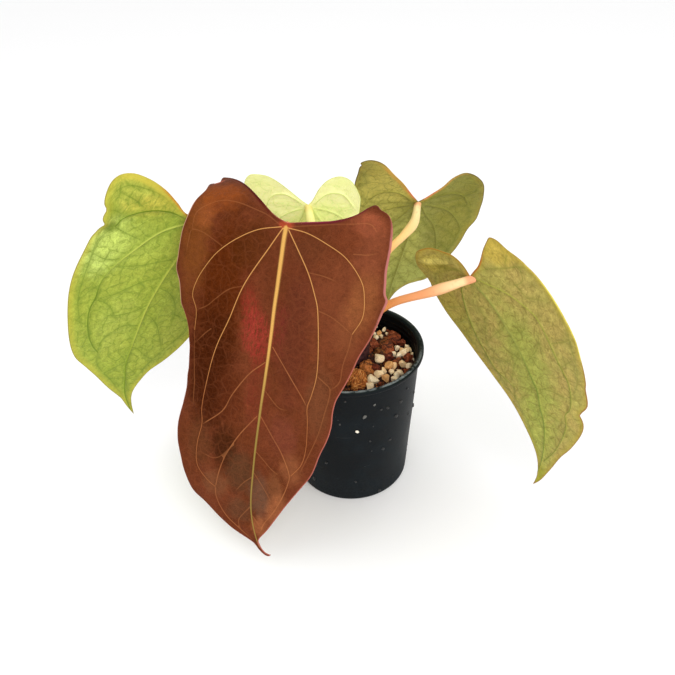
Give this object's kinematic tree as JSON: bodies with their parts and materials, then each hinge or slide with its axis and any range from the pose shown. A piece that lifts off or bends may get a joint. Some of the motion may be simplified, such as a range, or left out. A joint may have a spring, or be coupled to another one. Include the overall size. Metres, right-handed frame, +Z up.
{
  "type": "potted aroid plant",
  "caption": "Potted anthurium with hanging heart-shaped leaves on arching stalks, rooted in bark and perlite mix in a round tapered nursery pot.",
  "frame": {"origin": "centre of the pot's underside, on the surface the pot stands on", "axes": "+Z up along the pot's axis, -Y towards the side the youngest leaf hangs on, +X to the right seen from there"},
  "size_m": [0.3164, 0.2087, 0.2393],
  "materials": {
    "pot_plastic": "thin black injection-moulded plastic, semi-matt with fine scuffs",
    "bark_mix": "damp crushed bark and coir",
    "perlite": "porous white grains with brown stains",
    "bark_fibre": "fibrous orange-brown bark",
    "stem_skin": "dark purple-brown green wood",
    "stalk_coral": "smooth orange-pink leaf stalk with a satin skin",
    "stalk_pale": "smooth yellow-green leaf stalk with a satin skin",
    "leaf_bronze": "velvety copper-brown young leaf with gold veins",
    "leaf_olive": "olive leaf underside with pale veins, dark velvet upper side with silvery veins",
    "leaf_lime": "pale lime young leaf",
    "leaf_green": "yellow-green leaf underside with a darker net, dark velvet upper side with silvery veins"
  },
  "bodies": {
    "root": {"pot": "pot_plastic", "potting_mix": "bark_mix", "perlite_front": "perlite", "perlite_side": "perlite", "perlite_back": "perlite", "bark_piece": "bark_fibre", "stem": "stem_skin", "petiole_front": "stalk_coral", "blade_front": "leaf_bronze", "petiole_right": "stalk_coral", "blade_right": "leaf_olive", "petiole_back_right": "stalk_coral", "blade_back_right": "leaf_olive", "petiole_back": "stalk_pale", "blade_back": "leaf_lime", "petiole_left": "stalk_coral", "blade_left": "leaf_green"}
  },
  "joints": []
}
